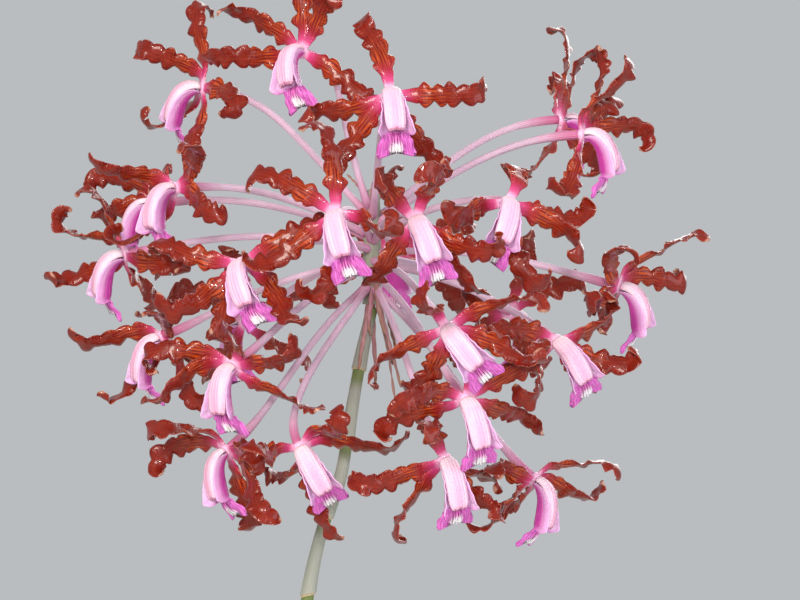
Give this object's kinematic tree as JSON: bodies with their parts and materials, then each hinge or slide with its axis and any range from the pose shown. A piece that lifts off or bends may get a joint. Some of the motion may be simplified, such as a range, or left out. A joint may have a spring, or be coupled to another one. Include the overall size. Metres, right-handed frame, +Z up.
{
  "type": "potted orchid",
  "caption": "Potted schomburgkia undulata: ribbed pseudobulbs with strap leaves and one tall stalk with a round umbel of waved maroon blooms with pink lips.",
  "frame": {"origin": "centre of the pot's flat base, where it rests", "axes": "+Z up along the pot's axis, -Y towards the viewer of the flower head, +X to that viewer's right"},
  "size_m": [0.374, 0.3046, 0.9881],
  "materials": {
    "terracotta": "matte unglazed fired clay",
    "bark": "rough coarse bark chips",
    "pseudobulb": "satin ribbed green tissue with dry sheaths at the foot",
    "leaf": "satin leathery green blade",
    "sheath": "matte papery grey-tan sheaths over an olive stalk",
    "pedicel": "satin lilac tissue",
    "tepal": "glossy waved maroon tissue",
    "lip": "soft matte pink, lilac and magenta tissue"
  },
  "bodies": {
    "root": {"pot": "terracotta", "potting_medium": "bark", "pseudobulbs": "pseudobulb", "leaves_1": "leaf", "leaves_2": "leaf", "leaves_3": "leaf", "leaves_4": "leaf", "scape": "sheath", "umbel": "pedicel", "bloom_01_tepals": "tepal", "bloom_01_lip": "lip", "bloom_02_tepals": "tepal", "bloom_02_lip": "lip", "bloom_03_tepals": "tepal", "bloom_03_lip": "lip", "bloom_04_tepals": "tepal", "bloom_04_lip": "lip", "bloom_05_tepals": "tepal", "bloom_05_lip": "lip", "bloom_06_tepals": "tepal", "bloom_06_lip": "lip", "bloom_07_tepals": "tepal", "bloom_07_lip": "lip", "bloom_08_tepals": "tepal", "bloom_08_lip": "lip", "bloom_09_tepals": "tepal", "bloom_09_lip": "lip", "bloom_10_tepals": "tepal", "bloom_10_lip": "lip", "bloom_11_tepals": "tepal", "bloom_11_lip": "lip", "bloom_12_tepals": "tepal", "bloom_12_lip": "lip", "bloom_13_tepals": "tepal", "bloom_13_lip": "lip", "bloom_14_tepals": "tepal", "bloom_14_lip": "lip", "bloom_15_tepals": "tepal", "bloom_15_lip": "lip", "bloom_16_tepals": "tepal", "bloom_16_lip": "lip", "bloom_17_tepals": "tepal", "bloom_17_lip": "lip", "bloom_18_tepals": "tepal", "bloom_18_lip": "lip", "bloom_19_tepals": "tepal", "bloom_19_lip": "lip", "bloom_20_tepals": "tepal", "bloom_20_lip": "lip", "bloom_21_tepals": "tepal", "bloom_21_lip": "lip", "bloom_22_tepals": "tepal", "bloom_22_lip": "lip", "bloom_23_tepals": "tepal", "bloom_23_lip": "lip", "bloom_24_tepals": "tepal", "bloom_24_lip": "lip", "bloom_25_tepals": "tepal", "bloom_25_lip": "lip"}
  },
  "joints": []
}
